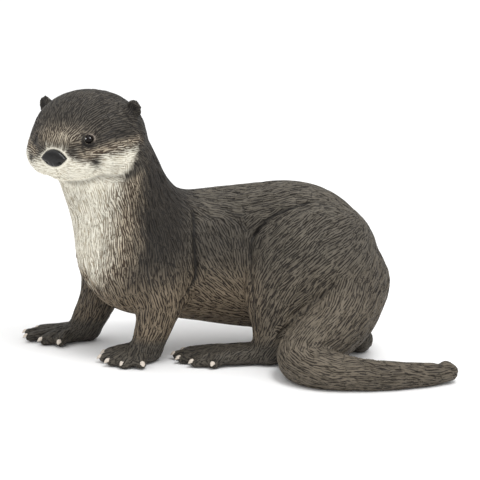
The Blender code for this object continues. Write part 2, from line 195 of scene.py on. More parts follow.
class Paw:
    """A flat palm on its heel with five webbed toes, each given by where it ends."""

    def __init__(self, heel, heel_height, palm, palm_height, palm_width, toes):
        heel, palm, toes = vec(*heel), vec(*palm), np.array(toes, float)
        ahead = unit(toes.mean(0) - palm)
        across = vec(-ahead[1], ahead[0])
        self.toes = []
        self.claws = []
        for tip in toes:
            root = palm + across*((tip - palm) @ across)*0.42 - ahead*1.5
            reach = unit(tip - root)
            knuckle = root*0.45 + tip*0.55
            end = tip - reach*TOE_RADIUS*0.7
            r = TOE_RADIUS
            self.toes.append(Tube([(*root, palm_height*0.55, r*1.15, r*1.35),
                                   (*knuckle, palm_height*0.42, r*1.1, r*1.2),
                                   (*end, r*0.95, r*0.95, r)], samples=3))
            self.claws.append((vec(*(tip - reach*0.4), r*1.05), vec(*reach, 0)))
        middle, front = (heel + palm)/2, palm + ahead*6
        mean = (heel_height + palm_height)/4
        self.palm = Tube([(*heel, heel_height*0.5, heel_height*0.5 + 0.5, heel_height*0.55),
                          (*middle, mean, mean + 0.4, palm_width*0.42),
                          (*palm, palm_height*0.45, palm_height*0.5, palm_width*0.5),
                          (*front, palm_height*0.27, palm_height*0.33, palm_width*0.5)], samples=3)
        points = np.vstack([toes, heel, palm])
        self.low = vec(*(points.min(0) - 6), 0)
        self.high = vec(*(points.max(0) + 6), heel_height + 4)

    def __call__(self, p):
        d = self.palm(p)
        for toe in self.toes:
            d = smooth_min(d, toe(p), TOE_FILLET)
        return d


PAWS = {
    'fore_left': Paw((-42, -3), 10, (-51, -7), 8.5, 19,
                     [(-64, 0.5), (-65, -7), (-61, -13), (-53.8, -16.2), (-44.5, -17.5)]),
    'fore_right': Paw((-74, 30), 10, (-87, 28), 8, 19,
                      [(-101, 40), (-106, 33.5), (-104.5, 26), (-96.5, 20), (-87, 16)]),
    'hind_left': Paw((12, -7), 10, (-12, -6.5), 8, 19,
                     [(-27, 4), (-31, -2), (-28.5, -8.5), (-22.3, -14), (-12.5, -17)]),
    'hind_right': Paw((57, 11), 12, (30, 22), 8, 19,
                      [(20, 14), (14.5, 20), (13, 26.5), (17, 33), (25, 37)]),
}

# ---- the blended body


def in_head(p):
    return (p - NOSE_AT) @ HEAD.T


def from_head(q):
    return NOSE_AT + np.asarray(q, float) @ HEAD


def on_left(q):
    """Head points with those on the right mirrored onto the left."""
    return np.column_stack([q[:, 0], np.abs(q[:, 1]), q[:, 2]])


def head(p):
    q = in_head(p)
    folded = on_left(q)
    d = np.full(len(p), np.inf)
    for centre, radii, fillet, paired in HEAD_FORMS:
        form = ellipsoid(folded if paired else q, centre, radii)
        d = form if fillet == 0 else smooth_min(d, form, fillet)
    return d


def blend_in(p, d, form, fillet, low, high):
    """Join a form to the field d, worked out only where it can reach."""
    margin = 8
    here = np.all((p > low - margin) & (p < high + margin), axis=1)
    if here.any():
        d[here] = smooth_min(d[here], form(p[here]), fillet)
    return d


def body(p):
    """Signed distance, in millimetres, from the otter's surface."""
    d = smooth_min(TRUNK(p), NECK(p), NECK_FILLET)
    d = blend_in(p, d, head, HEAD_FILLET, NOSE_AT - vec(15, 30, 25), NOSE_AT + vec(55, 60, 32))
    for name, limb in LIMBS.items():
        d = blend_in(p, d, limb, LIMB_FILLETS[name], limb.low, limb.high)
    for paw in PAWS.values():
        d = blend_in(p, d, paw, PAW_FILLET, paw.low, paw.high)
    return blend_in(p, d, TAIL, TAIL_FILLET, TAIL.low, TAIL.high)


def slope(p, step=0.3):
    """The body's distance and outward direction at each point."""
    here = body(p)
    grad = np.stack([body(p + axis*step) - here for axis in np.eye(3)], 1)
    return here, grad/(np.linalg.norm(grad, axis=1, keepdims=True) + 1e-9)


def settle(p, rounds=5):
    """Move points onto the otter's surface."""
    for _ in range(rounds):
        d, normal = slope(p)
        p = p - normal*np.clip(d, -2, 2)[:, None]
    return p


# ---- helpers


def smoothstep(low, high, value):
    t = np.clip((value - low)/(high - low), 0, 1)
    return t*t*(3 - 2*t)


def bell(distance, width):
    return np.exp(-(distance/width)**2)


def near_point(p, middle, width, stretch=1.0):
    """How close each point is to one point, 0 to 1, after stretching space along its axes."""
    return bell(np.linalg.norm((p - middle)*stretch, axis=1), width)


def line_distance(p, points):
    """Distance from each point to an open line."""
    points = np.asarray(points, float)
    best = np.full(len(p), np.inf)
    for a, b in zip(points[:-1], points[1:]):
        t = np.clip((p - a) @ (b - a)/((b - a) @ (b - a)), 0, 1)
        best = np.minimum(best, np.linalg.norm(p - a - t[:, None]*(b - a), axis=1))
    return best


NOISE_CELLS = 64
NOISE = np.random.default_rng(7).uniform(-1, 1, NOISE_CELLS**3).astype(np.float32)


def noise(p, cell, layer=0):
    """Smooth random field over cells of the given size, from -1 to 1."""
    q = p/cell + 21.7*layer
    base = np.floor(q).astype(np.int64)
    f = q - base
    f = (f*f*(3 - 2*f)).astype(np.float32)
    total = np.zeros(len(p), np.float32)
    for corner in range(8):
        step = [corner >> axis & 1 for axis in range(3)]
        i, j, k = ((base[:, axis] + step[axis]) % NOISE_CELLS for axis in range(3))
        share = [f[:, axis] if step[axis] else 1 - f[:, axis] for axis in range(3)]
        total += share[0]*share[1]*share[2]*NOISE[(i*NOISE_CELLS + j)*NOISE_CELLS + k]
    return total


def strands(p, flow, cell, half_length, layer, samples=9):
    """Noise drawn out along the coat's flow, with mean 0 and spread 1."""
    total = np.zeros(len(p), np.float32)
    for s in np.linspace(-1, 1, samples):
        total += (1 + np.cos(np.pi*s*0.9))*noise(p + flow*(s*half_length), cell, layer)
    return (total - total.mean())/total.std()


# ---- places

EYE_DEPTH = 1.3           # of an eye's centre under the face
EYE_FACES = unit(vec(0.42, 0.86, 0.12))
NOSE_CENTRE = vec(-1.4, 0, 0)
NOSE_PROUD = vec(0.5, -0.4, -0.75)        # how far the finished pad stands from its solid
NOSE_SIZE = NOSE_PAD*vec(1, 1.04, 0.92)
CLAW_LENGTH, CLAW_DIP = 3.6, 0.3


def eye_centre(hand):
    """Where an eye's centre lies: under the face, along the way that the eye looks."""
    looks = unit(EYE_FACES*vec(1, hand, 1))
    steps = np.linspace(-12, 12, 481)[:, None]
    line = from_head(EYE*vec(1, hand, 1) + looks*steps)
    surface = steps[np.abs(body(line)).argmin(), 0]
    return from_head(EYE*vec(1, hand, 1) + looks*(surface - EYE_DEPTH))


HANDS = {'left': 1, 'right': -1}
EYES = {side: eye_centre(hand) for side, hand in HANDS.items()}
EYE_FRONT = in_head(EYES['left'])[0]
LID_SHAPE, LID_REACH = (1.02, 0.87), 5    # how long and high the lids are, and how deep they matter
EYE_SIZE = 0.87*EYE_RADIUS                # of the glossy ball, which leaves room for the lids
EYE_SUNK = {'left': 0.0, 'right': 0.8}    # the far eye is set deeper, out of sight from the near side
low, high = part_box('eye_left')
SHIFT = np.array((low + high)/2)/MM - EYES['left']      # from the part's millimetres to the frame's


def placed(p):
    """Millimetres of the part as metres of the frame."""
    return (np.asarray(p, float) + SHIFT)*MM


# ---- meshes


def mesh_from(bm, name):
    mesh = bpy.data.meshes.new(name)
    bm.to_mesh(mesh)
    bm.free()
    return mesh


def ball(centre, axes, radii, around=12, up=8):
    """An ellipsoid with its radii along the rows of axes."""
    turn = Matrix((np.asarray(axes, float).T*np.asarray(radii, float)).tolist()).to_4x4()
    bm = bmesh.new()
    bmesh.ops.create_uvsphere(bm, u_segments=around, v_segments=up, radius=1,
                              matrix=Matrix.Translation(Vector(centre)) @ turn)
    return mesh_from(bm, 'ball')


def tube_balls(tube):
    for centre, side, radius, half_width in tube.balls():
        upright = unit(np.cross(side, vec(side[1], -side[0], 0)))
        yield ball(centre, [side, np.cross(upright, side), upright], (half_width, radius, radius))


def cage():
    """Every form as overlapping balls, ready to be remeshed into one skin."""
    bm = bmesh.new()
    for centre, radii, _, paired in HEAD_FORMS:
        for hand in (1, -1) if paired else (1,):
            bm.from_mesh(ball(from_head(centre*vec(1, hand, 1)), HEAD, radii, 24, 16))
    paw_tubes = [tube for paw in PAWS.values() for tube in (paw.palm, *paw.toes)]
    for tube in (TRUNK, NECK, TAIL, *LIMBS.values(), *paw_tubes):
        for mesh in tube_balls(tube):
            bm.from_mesh(mesh)
    return mesh_from(bm, 'cage')


def vectors(items, field):
    """One vector of each item, as rows."""
    values = np.empty(3*len(items))
    items.foreach_get(field, values)
    return values.reshape(-1, 3)


def points_of(mesh):
    return vectors(mesh.vertices, 'co')


def move_points(mesh, points):
    mesh.vertices.foreach_set('co', np.asarray(points, float).ravel())
    mesh.update()


def normals_of(mesh):
    return vectors(mesh.vertex_normals, 'vector')


def add(name, data):
    """A new object in the scene."""
    obj = bpy.data.objects.new(name, data)
    bpy.context.scene.collection.objects.link(obj)
    return obj


def with_modifier(mesh, kind, **settings):
    """The mesh after one modifier."""
    obj = add('work', mesh)
    modifier = obj.modifiers.new(kind, kind)
    for name, value in settings.items():
        setattr(modifier, name, value)
    depsgraph = bpy.context.evaluated_depsgraph_get()
    result = bpy.data.meshes.new_from_object(obj.evaluated_get(depsgraph))
    bpy.data.objects.remove(obj)
    return result


def piece(name, mesh, material, replaces=()):
    """A finished piece of the figure: it rides the body and stands for its nodes."""
    mesh.materials.clear()
    mesh.materials.append(material)
    obj = add(name, mesh)
    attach(obj, 'root')
    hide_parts(*replaces)


# ---- the skin's surface

LENS_AT = from_head((-16, 0, 0))          # the skin's mesh is finest round the face
LENS_GAIN, LENS_REACH = 18, 30
SKIN_VOXEL = 1.75
SUBDIVISIONS = 2


def lens(p):
    """Swell space round the face, so that an even remesh is finer there."""
    off = p - LENS_AT
    r = np.linalg.norm(off, axis=1, keepdims=True) + 1e-9
    return LENS_AT + off*(1 + LENS_GAIN*(1 - np.exp(-r/LENS_REACH))/r)


def lens_back(p):
    """Undo the lens."""
    off = p - LENS_AT
    target = np.linalg.norm(off, axis=1, keepdims=True) + 1e-9
    r = target.copy()
    for _ in range(8):
        fade = np.exp(-r/LENS_REACH)
        r -= (r + LENS_GAIN*(1 - fade) - target)/(1 + LENS_GAIN/LENS_REACH*fade)
    return LENS_AT + off*(r/target)


def smooth_skin():
    """The whole body as one even mesh of quads on the blended form, with flat soles."""
    mesh = cage()
    move_points(mesh, lens(points_of(mesh)))
    mesh = with_modifier(mesh, 'REMESH', mode='VOXEL', voxel_size=SKIN_VOXEL)
    points = settle(lens_back(points_of(mesh)), rounds=3)
    points[:, 2] = np.maximum(points[:, 2], 0)
    move_points(mesh, points)
    return mesh


# ---- where the skin is parted


HEAD_EDGE_AT, HEAD_EDGE_UP = vec(-12, 0, -15.5), vec(0.335, 0, 0.942)   # in the head's directions
FEET_PARTED = -33.9                       # between the near fore and hind feet, along X


def beyond(p, point, outward):
    """Whether each point is on the outer side of a plane."""
    return (p - vec(*point)) @ vec(*outward) > 0


def skin_regions(p):
    """Which piece of the skin each point belongs to."""
    x, z = p[:, 0], p[:, 2]
    name = np.where(x < -18, 'coat_shoulders', np.where(x < 22, 'coat_flanks', 'coat_rump'))
    name = np.where((z < 26) & (x < FEET_PARTED), 'coat_forefeet', name)
    name = np.where((z < 17) & (x >= FEET_PARTED), 'coat_hindfeet', name)
    tail = beyond(p, (43, 0, 38), (0.69, 0, -0.72)) & beyond(p, (20, -18, 0), (0.37, -0.93, 0))
    name = np.where(tail, 'coat_tail', name)
    below_neck = beyond(p, (-38, 0, 84), (0.545, 0, -0.838))
    name = np.where(below_neck, name, 'coat_neck')
    below_head = beyond(p, from_head(HEAD_EDGE_AT), -HEAD.T @ HEAD_EDGE_UP)
    return np.where(below_head, name, 'coat_head')


STANDS_FOR = {name: nodes.split() for name, nodes in (
    ('coat_head', 'head ear_left ear_right'),
    ('coat_neck', 'neck'),
    ('coat_shoulders', 'fore_left_leg fore_right_leg'),
    ('coat_flanks', 'trunk'),
    ('coat_rump', 'hind_left_leg hind_right_leg'),
    ('coat_forefeet', 'fore_left_foot fore_right_foot'),
    ('coat_hindfeet', 'hind_left_foot hind_right_foot'),
    ('coat_tail', 'tail_root tail_bend tail_middle tail_tip'),
)}


def unwrap(mesh, regions):
    """Unfold each piece of the skin by its own shape, into a map named OFBake."""
    mesh.uv_layers.new(name='OFBake')
    obj = add('unwrap', mesh)
    bpy.context.view_layer.objects.active = obj
    obj.select_set(True)
    for name in STANDS_FOR:
        mesh.polygons.foreach_set('select', regions == name)
        bpy.ops.object.mode_set(mode='EDIT')
        bpy.ops.uv.smart_project(angle_limit=1.15, island_margin=0.004)
        bpy.ops.object.mode_set(mode='OBJECT')
    bpy.data.objects.remove(obj)


# ---- the lie of the coat


def tube_combs(tube, reach, ends=0.0):
    """Combs along a tube, each pointing on towards its end."""
    t = np.linspace(ends, tube.spans - ends, 2*tube.spans + 1)
    row, along = tube.at(np.minimum(t, tube.spans - 1e-6))
    return [(at[:3], unit(way), reach*at[3]) for at, way in zip(row, along)]


# place, direction and reach; on the otter's left side
FLANK_COMBS = (
    ((-45, -14, 90), (0.10, 0, -1), 10),
    ((-50, -20, 75), (0.10, 0, -1), 13),
    ((-38, 6, 92), (0.5, 0, -0.85), 10),
    ((-30, 4, 80), (0.8, 0, -0.6), 11),
    ((-12, 12, 77), (1, 0, -0.12), 13),
    ((10, 14, 80), (1, 0, 0), 14),
    ((36, 8, 77), (1, 0, -0.05), 12),
    ((-33, -12, 60), (0.12, 0, -1), 15),
    ((-12, -5, 58), (0.35, 0, -1), 12),
    ((-12, -8, 38), (0.7, 0, -0.7), 10),
    ((-2, -5, 55), (0.25, 0, -1), 9),
    ((-2, -8, 38), (0.5, 0, -0.85), 8),
    ((-6, -2, 22), (1, 0, -0.36), 10),
    ((16, -5, 61), (0.65, 0, 0.75), 9),
    ((27, -10, 50), (0.7, 0, 0.75), 13),
    ((46, -8, 56), (0.9, 0, 0.45), 13),
    ((60, 5, 48), (0.1, 0.2, 1), 9),
    ((7, -9, 46), (0.05, 0, 1), 9),
    ((9, -14, 28), (0.3, 0, 0.95), 10),
    ((24, -20, 28), (0.75, 0, 0.65), 11),
    ((-62, -14, 62), (0, 0, -1), 13),
    ((-64, -12, 45), (0, 0, -1), 12),
)
# the same in the head's own directions
HEAD_COMBS = (
    ((-1, 0, 6), (-0.3, 0, 1), 5),
    ((-5, 4, 8), (-0.5, 0.25, 0.85), 5),
    ((-3, 9, 3), (-0.45, 0.85, 0.2), 4),
    ((-10, 0, 13), (-0.7, 0, 0.7), 8),
    ((-9, 10, 10.5), (-0.6, 0.45, 0.65), 6),
    ((-14, 18, 9), (-0.8, 0.5, 0.3), 7),
    ((-25, 6, 22), (-1, 0.1, 0), 12),
    ((-24, 20, 14), (-0.95, 0.25, -0.1), 10),
    ((-9, 17, 3), (-0.6, 0.8, 0), 5),
    ((-16, 24, 0), (-0.9, 0.4, -0.1), 7),
    ((-24, 27, -3), (-1, 0.1, -0.15), 8),
    ((-14, 19, -9), (-0.9, 0.4, -0.1), 7),
    ((-3, 7, -2), (-0.25, 0.95, -0.1), 4),
    ((-4, 6, -8), (-0.25, 0.95, -0.1), 5),
    ((-7, 14, -5), (-0.5, 0.85, -0.1), 4),
    ((-9, 3, -13), (-1, 0.1, 0), 6),
    ((-38, 20, 5), (-0.8, -0.2, -0.5), 10),
    ((-46, 0, 12), (-0.6, 0, -0.8), 10),
    ((-48, 6, -2), (-0.2, 0, -1), 10),
)
SPINE_Y = 15                              # middle of the trunk


def combs():
    """Every comb of the coat: place, direction and reach."""
    rows = tube_combs(NECK, 0.7) + tube_combs(TAIL, 1.0)
    for limb in LIMBS.values():
        rows += tube_combs(limb, 0.6)
    for paw in PAWS.values():
        for toe in paw.toes:
            rows += tube_combs(toe, 1.6)
    for hand in (1, -1):
        mirror = vec(1, hand, 1)
        middle = vec(0, SPINE_Y if hand < 0 else 0, 0)
        rows += [(middle + (vec(*at) - middle)*mirror, unit(vec(*way)*mirror), reach)
                 for at, way, reach in FLANK_COMBS]
        rows += [(from_head(vec(*at)*mirror), unit((vec(*way)*mirror) @ HEAD), reach)
                 for at, way, reach in HEAD_COMBS]
    return rows


def lie_of_coat(p, normal):
    """Unit direction of the fur in the skin at each point, blended from the combs as unsigned lines."""
    first = np.cross(normal, vec(0.3, 0.2, 0.9))
    first /= np.linalg.norm(first, axis=1, keepdims=True) + 1e-9
    second = np.cross(normal, first)
    double_cos, double_sin = np.zeros(len(p)), np.zeros(len(p))
    for at, way, reach in combs():
        weight = np.exp(-((p - at)**2).sum(1)/reach**2)
        a, b = first @ way, second @ way
        double_cos += weight*(a*a - b*b)
        double_sin += weight*2*a*b
    angle = np.arctan2(double_sin, double_cos)/2
    angle += 0.22*noise(p, 5.0, 1) + 0.12*noise(p, 2.2, 2)
    return np.cos(angle)[:, None]*first + np.sin(angle)[:, None]*second


# ---- carving


def in_skin(points):
    """A smooth line through a few points, laid onto the skin."""
    line = Tube([(*point, 1) for point in points])
    return settle(line.at(np.linspace(0, line.spans - 1e-6, 8*line.spans))[0][:, :3])


def head_line(points):
    """The same for points given in the head's directions, on its left side."""
    return in_head(in_skin(from_head(points)))


# lines in the skin, in the head's directions on its left side
LIP_EDGE = head_line([(-3.2, 0, -9.8), (-4.5, 6.9, -10.5), (-6.8, 11.1, -10.6), (-6.9, 14.4, -9.0),
                      (-6.8, 16.8, -6.6), (-6.7, 17.7, -3.4), (-6.0, 16.4, -2.0)])
PHILTRUM = head_line([(0.2, 0, -4.0), (-1.2, 0, -7.0), (-3.2, 0, -9.8)])
TEAR_FOLD = head_line([(-7.2, 11.6, 7.6), (-6.6, 11.4, 5.0), (-5.6, 11.6, 3.0), (-5.2, 12.8, 1.0)])
WHISKER_PAD = [(-2.7, 8.0, 1.2), (-4.5, 13.3, -0.8), (-6.6, 17.3, -2.9)]
JOWL = head_line([(-31.7, 25.6, 8), (-30.8, 26.7, 3.7), (-28, 27.5, -0.1), (-24.6, 27.6, -4.7),
                  (-20.7, 26.2, -9.7), (-16.4, 23.4, -11.8), (-13.1, 20.5, -11.2), (-9.9, 16.4, -10.8),
                  (-9.0, 11, -12.4), (-8.6, 5, -13.6), (-8.4, 0, -13.8)])
# the same lines, with how wide and deep each is carved, and how wide and dark the painted shadow along it is
FACE_FOLDS = ((LIP_EDGE, 0.55, 0.75, 0.5, 0.35), (PHILTRUM, 0.45, 0.45, 0.35, 0.12),
              (TEAR_FOLD, 0.7, 0.30, 0.7, 0.75), (JOWL, 0.9, 0.50, 1.6, 0.45))
MOUTH_CORNER = vec(-6.5, 17.4, -3.0)
TAIL_TIP = vec(91.5, -35.0, 8.6)          # where its hair curls up
# the pale face ends at a height that changes with the side, and the cheek's end with the height
FACE_EDGE = ((0, 5, 7, 10, 14, 17, 21, 27), (4.4, 3.4, 1.4, 0.0, -1.4, -1.0, 0.2, 0.6))
CHEEK_END = ((-11.8, -9.7, -7.0, -4.7, -0.1, 3.7, 8.0), (-16.6, -20.7, -22.9, -24.6, -28.0, -30.8, -31.7))
# the bib by height: the neck's axis, and in degrees round it the bib's middle and half its width
BIB_X = ((30, 52, 76, 98), (-50, -50, -56, -63))
BIB_Y = ((30, 52, 76, 98), (9, 8, 4, -1))
BIB_TURN = ((30, 45, 60, 76, 90), (12, 16, 30, 46, 52))
BIB_HALF = ((30, 38, 50, 60, 76, 84, 92), (38, 50, 57, 57, 55, 62, 72))
BIB_BACK = -35                            # nothing is pale behind this, along X
# lines on the body's left side, with their width, depth and how dark the painted shadow along them is
BODY_FOLDS = [(in_skin(points), *look) for points, *look in (
    ([(-21, 1, 70), (-20.5, -5, 60), (-20, -7.4, 50), (-20, -7, 41), (-23, -8, 35), (-26.5, -13, 31)],
     1.2, 1.3, 1.0),
    ([(6, -4.6, 60), (10.5, -3.9, 66), (17.3, -3.6, 71), (25.5, -3.4, 74), (33, -2.4, 76)], 1.1, 1.3, 0.9),
    ([(10, -4, 65.4), (6.8, -4.8, 61.4), (5, -5.7, 56), (4.6, -8, 47), (5, -13, 39), (6, -14.4, 30),
      (6.4, -13, 20)], 1.2, 0.8, 0.7),
    ([(42, -19.6, 41), (36, -19.7, 35), (29, -20.4, 29), (23.5, -19.8, 23.6), (18.6, -18.8, 18)],
     1.0, 0.6, 0.5),
)]


def between_toes(paw):
    """Lines in the skin along the webs between a paw's toes."""
    t = np.array([0.1, 0.9, 1.75])
    for one, other in zip(paw.toes[:-1], paw.toes[1:]):
        middle = (one.at(t)[0] + other.at(t)[0])/2
        yield in_skin(middle[:, :3] + vec(0, 0, 2.0))


WEBS = [line for paw in PAWS.values() for line in between_toes(paw)]


def feature_lines(q, points, width):
    """How strongly each head point lies on a line or its mirror image, 0 to 1."""
    return bell(line_distance(on_left(q), points), width)


def six_sided(left, up):
    """How far out a place is in the nose pad's outline, a softened six-sided one; 1 on its edge."""
    left, up = np.abs(left), np.abs(up)
    return (up**4 + (left + 0.55*up)**4)**0.25


def lid_distance(q):
    """Distance from the nearer eye's axis, stretched to the lids' shape, for points beside the eye."""
    nearest = np.full(len(q), 99.0)
    for side, hand in HANDS.items():
        out = unit(EYE_FACES*vec(1, hand, 1))
        along = unit(np.cross(out, vec(0.5, 0, 1))*hand)
        across = np.cross(out, along)*hand
        off = q - in_head(EYES[side])
        lid = np.hypot(off @ along/LID_SHAPE[0], off @ across/LID_SHAPE[1])
        nearest = np.minimum(nearest, np.where(np.abs(off @ out) < LID_REACH, lid, 99))
    return nearest


def near_head(q):
    """Which head points aren't far down the body, 0 to 1."""
    return smoothstep(62, 50, np.linalg.norm(q + vec(20, 0, 0), axis=1))


def ear_hollow(q):
    """How deep each head point lies in the hollow of an ear, 0 to 1."""
    return near_point(on_left(q), EAR + vec(2.2, 0.6, 0.2), 1, 1/vec(1.8, 2.4, 2.7))


JITTER = np.random.default_rng(11).uniform(0.15, 0.85, (NOISE_CELLS**3, 3))
PATCH_CELL = 7.0
PATCH_BLEND = 2.2                         # width over which one patch hands over to the other set
PATCH_SHIFT, PATCH_SHIFTS = 7.31, 97      # so that no two patches that touch repeat each other
HAIR_PITCH, HAIR_LENGTH = 0.60, 3.6       # on the body
FINE_PITCH, FINE_LENGTH = 0.52, 2.8       # on the head and feet


def nearest_patches(p, layer):
    """For each point the middle of its patch, the patch's number, and how far inside it the point is."""
    q = p/PATCH_CELL + 13.37*layer
    base = np.floor(q).astype(np.int64)
    first, second = np.full(len(p), 99.0), np.full(len(p), 99.0)
    middle = np.zeros_like(p)
    for step in np.ndindex(3, 3, 3):
        cell = base + np.array(step) - 1
        i, j, k = (cell % NOISE_CELLS).T
        seed = cell + JITTER[(i*NOISE_CELLS + j)*NOISE_CELLS + k]
        distance = np.linalg.norm(q - seed, axis=1)
        nearer = distance < first
        second = np.where(nearer, first, np.minimum(second, distance))
        first = np.where(nearer, distance, first)
        middle[nearer] = seed[nearer]
    middles, number = np.unique(middle.round(6), axis=0, return_inverse=True)
    return (middles - 13.37*layer)*PATCH_CELL, number.ravel(), (second - first)*PATCH_CELL


def fur_places(p, layer):
    """Each point's place in its patch of fur: across, out of and along the hair, in hairs."""
    middles, number, inside = nearest_patches(p, layer)
    middles = settle(middles, rounds=2)
    _, normal = slope(middles)
    along = lie_of_coat(middles, normal)
    across = np.cross(normal, along)
    fine = np.maximum(near_head(in_head(middles)), smoothstep(15, 9, middles[:, 2])*(middles[:, 0] < 62))
    pitch = HAIR_PITCH + (FINE_PITCH - HAIR_PITCH)*fine
    length = HAIR_LENGTH + (FINE_LENGTH - HAIR_LENGTH)*fine
    off = p - middles[number]
    spread = np.column_stack([(off*way[number]).sum(1)/size[number]
                              for way, size in ((across, pitch), (normal, pitch), (along, length))])
    return spread + PATCH_SHIFT*(number % PATCH_SHIFTS)[:, None], inside


class Skin:
    """Every point of the skin with the masks that carve and paint it."""

    def __init__(self, p, normal):
        self.p, self.normal = p, normal
        self.q = in_head(p)
        self.side = np.abs(self.q[:, 1])
        self.is_head = smoothstep(-3, 1, (self.q - HEAD_EDGE_AT) @ HEAD_EDGE_UP)*near_head(self.q)
        self.lids = lid_distance(self.q)
        nose = (self.q - NOSE_CENTRE - NOSE_PROUD)/NOSE_SIZE
        self.nose = (np.hypot(nose[:, 0], six_sided(nose[:, 1], nose[:, 2])) - 1)*NOSE_SIZE.mean()
        self.tail = TAIL(p)
        self.hollow = ear_hollow(self.q)
        self.flow = lie_of_coat(p, normal)
        self.face = smoothstep(-14, -6, self.q[:, 0])*self.is_head
        self.feet = smoothstep(15, 9, p[:, 2])*smoothstep(0.5, 2.5, np.abs(self.tail))
        ragged = strands(p, self.flow, 0.8, 4.0, 11)
        self.cream = self.pale_face(ragged)*self.is_head + self.bib(ragged)*(1 - self.is_head)
        self.strand = self.strand_field()

    def pale_face(self, ragged):
        """The pale muzzle, cheeks and chin, with an edge broken up by the fur."""
        forward, up = self.q[:, 0], self.q[:, 2]
        self.face_edge = up - np.interp(self.side, *FACE_EDGE)
        cheek_end = forward - np.interp(up, *CHEEK_END) + 0.5*ragged
        chin = smoothstep(16, 12, self.side)*smoothstep(-25, -21, forward)
        # painted shade where the cheek turns away at its back edge
        self.cheek_rim_shade = smoothstep(5, -1, cheek_end)*(1 - chin)*self.is_head
        below = smoothstep(3.2, -3.2, self.face_edge + 0.9*ragged)
        return below*np.maximum(smoothstep(-1.2, 1.2, cheek_end), chin)

    def bib(self, ragged):
        """The pale throat and chest, from the chin down to a point between the forelegs."""
        x, y, z = self.p.T
        axis_x, axis_y, middle, half = (np.interp(z, *rows) for rows in (BIB_X, BIB_Y, BIB_TURN, BIB_HALF))
        past = np.abs(np.degrees(np.arctan2(axis_y - y, axis_x - x)) - middle) - half
        in_front = x < BIB_BACK
        on_chest = in_front*smoothstep(30, 45, z)
        self.bib_edge = bell(past - 3, 12)*on_chest
        self.under_bib = smoothstep(30, -6, past + 3*ragged)*on_chest
        self.bib_grime = smoothstep(-34, 0, past)
        bottom = 32 - 0.6*(x + 53.7)
        return smoothstep(10, -20, past + 4*ragged)*smoothstep(-3, 5, z - bottom + 2.5*ragged)*in_front

    def strand_field(self):
        """Fur strands of the body's size, finer on the head and feet."""
        coarse = strands(self.p, self.flow, 0.80, 4.0, 21)
        fine = strands(self.p, self.flow, 0.52, 2.2, 31)
        small = np.maximum(self.is_head, 0.8*self.feet)
        mixed = coarse*(1 - small) + fine*small
        return mixed/np.sqrt((1 - small)**2 + small**2)

    def near(self, line, width):
        """How close each point is to a line in the skin, 0 to 1."""
        reach = 3*width
        here = np.all((self.p > line.min(0) - reach) & (self.p < line.max(0) + reach), axis=1)
        close = np.zeros(len(self.p))
        close[here] = bell(line_distance(self.p[here], line), width)
        return close

    def hair(self):
        """Two overlapping sets of patches for the finest hair, and how much of each to show."""
        (a, inside_a), (b, inside_b) = fur_places(self.p, 1), fur_places(self.p, 2)
        weight = smoothstep(0, PATCH_BLEND, inside_a), smoothstep(0, PATCH_BLEND, inside_b)
        share = weight[0]/(weight[0] + weight[1] + 1e-3)
        bib_middle = self.cream*(1 - self.bib_grime)*(1 - self.is_head)
        smooth = np.max([0.7*self.cream*self.is_head, 0.55*bib_middle,
                         0.5*smoothstep(20, 55, self.p[:, 0]), 0.5*smoothstep(6, 1, self.tail)], axis=0)
        strength = (1 - smooth)*smoothstep(0.9, 1.8, self.nose)/np.hypot(share, 1 - share)
        # the third column is painted shadow in the deep lines and painted shade in the ears' hollows
        return a, b, np.column_stack([share*strength, (1 - share)*strength, self.crease_shadows()])

    def crease_shadows(self):
        """Painted shadow in the deep lines that catch no light, the webs, the fold before each eye, the
        mouth's corners and the tail's curl, and painted shade in the ears' hollows, 0 to 1.
        """
        lines = [(self.near(line, 0.8*width), dark) for line, width, _, dark in BODY_FOLDS]
        lines += [(self.near(line, 0.6), 0.5) for line in WEBS]
        lines += [(feature_lines(self.q, line, width), dark) for line, _, _, width, dark in FACE_FOLDS]
        before_eye = smoothstep(-1.0, 0.8, self.q[:, 0] - EYE_FRONT - 0.5*(self.q[:, 2] - EYE[2]))
        lines.append((bell(self.lids - 3.0, 0.7)*before_eye, 1.0))
        lines.append((near_point(self.p, TAIL_TIP - vec(3.4, 0, 0), 1.2, vec(1, 0.5, 1)), 0.8))
        lines.append((near_point(on_left(self.q), MOUTH_CORNER, 1.3), 0.9))
        deepest = np.max([dark*close for close, dark in lines], axis=0)
        # painted shade in the ears' hollows joins the painted shadow of the deep lines
        return np.maximum(deepest, 0.6*self.hollow)*smoothstep(0.2, 1.2, self.nose)

    def fur_relief(self):
        """The carved strands and the locks that they gather in, shallower on the head and feet."""
        clump = strands(self.p, self.flow, 2.2, 7.0, 41)
        depth = 0.60*(1 - 0.5*self.is_head)*(1 - 0.5*self.feet)*(1 - 0.45*self.face)
        depth *= smoothstep(2.4, 4.5, self.lids)*smoothstep(0.2, 1.6, self.nose)*(1 - self.hollow)
        return -depth*(smoothstep(0.4, -1.6, self.strand) + 0.35*smoothstep(0.5, -1.5, clump))

    def face_relief(self):
        """Folds, hollow ears, a rim round the nose, and lids round a socket for each eye."""
        height = 0.40*bell(self.nose - 0.55, 0.40)*self.by_nose() - 1.3*self.hollow
        height += 0.40*bell(self.lids - 2.35, 0.45) - 0.35*bell(self.lids - 3.4, 0.70)
        height -= 1.5*smoothstep(2.10, 1.70, self.lids)
        for line, width, deep, _, _ in FACE_FOLDS:
            height -= deep*feature_lines(self.q, line, width)
        return height

    def relief(self):
        """Height of the carved skin over the smooth form; never much above it."""
        height = self.fur_relief() + self.face_relief()
        for line, width, deep, _ in BODY_FOLDS:
            height -= deep*self.near(line, width)
        for line in WEBS:
            height -= 0.6*self.near(line, 0.7)
        height += 1.1*near_point(self.p, TAIL_TIP, 2.4, vec(1, 0.6, 1))
        return height - 0.6*near_point(self.p, TAIL_TIP - vec(3.6, 0, 0), 1.3, vec(1, 0.5, 1))

    def by_nose(self):
        """True in front of the bridge, where the nose pad's outline means anything."""
        return self.q[:, 0] > -6

